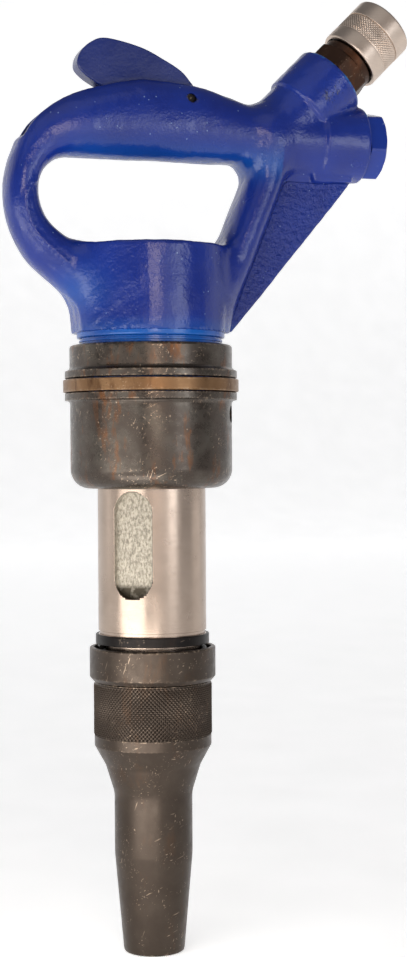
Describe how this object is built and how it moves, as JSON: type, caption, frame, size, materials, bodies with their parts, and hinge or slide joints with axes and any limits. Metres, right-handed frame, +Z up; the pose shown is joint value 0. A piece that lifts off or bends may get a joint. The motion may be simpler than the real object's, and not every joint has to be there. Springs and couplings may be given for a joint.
{
  "type": "pneumatic chipping hammer",
  "caption": "Pneumatic hammer with a closed D handle, top thumb lever, side inlet coupler, steel barrel, screwed collars and a knurled nose retainer.",
  "frame": {"origin": "centre of the nose's mouth, at the retainer's lower end face", "axes": "+Z up the barrel axis to the grip, +X from the hand opening to the air inlet, Y = 0 the handle's mid-plane"},
  "size_m": [0.1972, 0.0812, 0.446],
  "materials": {
    "blue_paint": "semi-gloss paint on a cast surface",
    "lever_paint": "satin paint",
    "black_oxide_steel": "worn black oxide",
    "dark_ring": "black oxide",
    "bronze_ring": "dull bronze",
    "ground_steel": "ground",
    "plain_steel": "turned",
    "spring_steel": "drawn wire",
    "brown_steel": "browned",
    "satin_nickel": "satin nickel",
    "rubber_seal": "matt"
  },
  "bodies": {
    "root": {"chisel_bush": "ground_steel", "lock_ring_spring": "spring_steel", "spring_seat_ring": "dark_ring", "barrel": "ground_steel", "barrel_seal": "rubber_seal", "barrel_clamp_nut": "black_oxide_steel", "lock_washer": "bronze_ring", "lock_nut": "black_oxide_steel", "valve_box": "plain_steel", "valve_cover": "plain_steel", "valve_dowel": "plain_steel", "valve_gasket": "rubber_seal", "handle": "blue_paint", "lever_pin": "dark_ring", "pusher_guide": "bronze_ring", "throttle_seat": "bronze_ring", "throttle_spring": "spring_steel", "valve_plug": "blue_paint", "plug_gasket": "rubber_seal", "inlet_strainer": "bronze_ring", "coupler_body": "brown_steel", "coupler_spring": "spring_steel", "coupler_snap_ring": "spring_steel", "coupler_balls": "spring_steel", "coupler_seal": "rubber_seal", "coupler_check_spring": "spring_steel"},
    "lever": {"throttle_lever": "lever_paint"},
    "pusher": {"throttle_pusher": "plain_steel"},
    "poppet": {"throttle_valve": "plain_steel"},
    "shuttle": {"shuttle_valve": "plain_steel"},
    "piston": {"piston": "ground_steel"},
    "nose_retainer": {"nose_retainer": "black_oxide_steel"},
    "lock_ring": {"retainer_lock_ring": "black_oxide_steel"},
    "coupler_sleeve": {"coupler_sleeve": "satin_nickel"},
    "coupler_check": {"coupler_check_valve": "bronze_ring"}
  },
  "joints": [
    {"name": "throttle_lever_press", "type": "hinge", "parent": "root", "child": "lever", "pos_m": [0.0167, 0, 0.393], "axis": [0, -1, 0], "range_deg": [0, 12], "stiffness_Nm_per_rad": 1, "springref_deg": -20.05},
    {"name": "pusher_slide", "type": "slide", "parent": "root", "child": "pusher", "axis": [1, 0, 0], "range_m": [0, 0.0033]},
    {"name": "poppet_slide", "type": "slide", "parent": "root", "child": "poppet", "axis": [1, 0, 0], "range_m": [0, 0.0033], "deforming": ["throttle_spring"]},
    {"name": "shuttle_lift", "type": "slide", "parent": "root", "child": "shuttle", "axis": [0, 0, 1], "range_m": [0, 0.002]},
    {"name": "piston_stroke", "type": "slide", "parent": "root", "child": "piston", "axis": [0, 0, 1], "range_m": [0, 0.088]},
    {"name": "retainer_turn", "type": "hinge", "parent": "root", "child": "nose_retainer", "pos_m": [0, 0, 0.112], "axis": [0, 0, 1], "range_deg": [0, 90]},
    {"name": "lock_ring_lift", "type": "slide", "parent": "root", "child": "lock_ring", "axis": [0, 0, 1], "range_m": [0, 0.0035], "stiffness_N_per_m": 4000, "springref_m": -0.005, "deforming": ["lock_ring_spring"]},
    {"name": "coupler_sleeve_pull", "type": "slide", "parent": "root", "child": "coupler_sleeve", "axis": [-0.7071, 0, -0.7071], "range_m": [0, 0.0038], "stiffness_N_per_m": 2500, "springref_m": -0.006, "deforming": ["coupler_spring"]},
    {"name": "coupler_check_lift", "type": "slide", "parent": "root", "child": "coupler_check", "axis": [-0.7071, 0, -0.7071], "range_m": [0, 0.004], "stiffness_N_per_m": 800, "springref_m": -0.005, "deforming": ["coupler_check_spring"]}
  ],
  "couplings": [
    {"joint": "pusher_slide", "follows": "throttle_lever_press", "m_per_rad": 0.0155},
    {"joint": "poppet_slide", "follows": "throttle_lever_press", "m_per_rad": 0.0155}
  ]
}
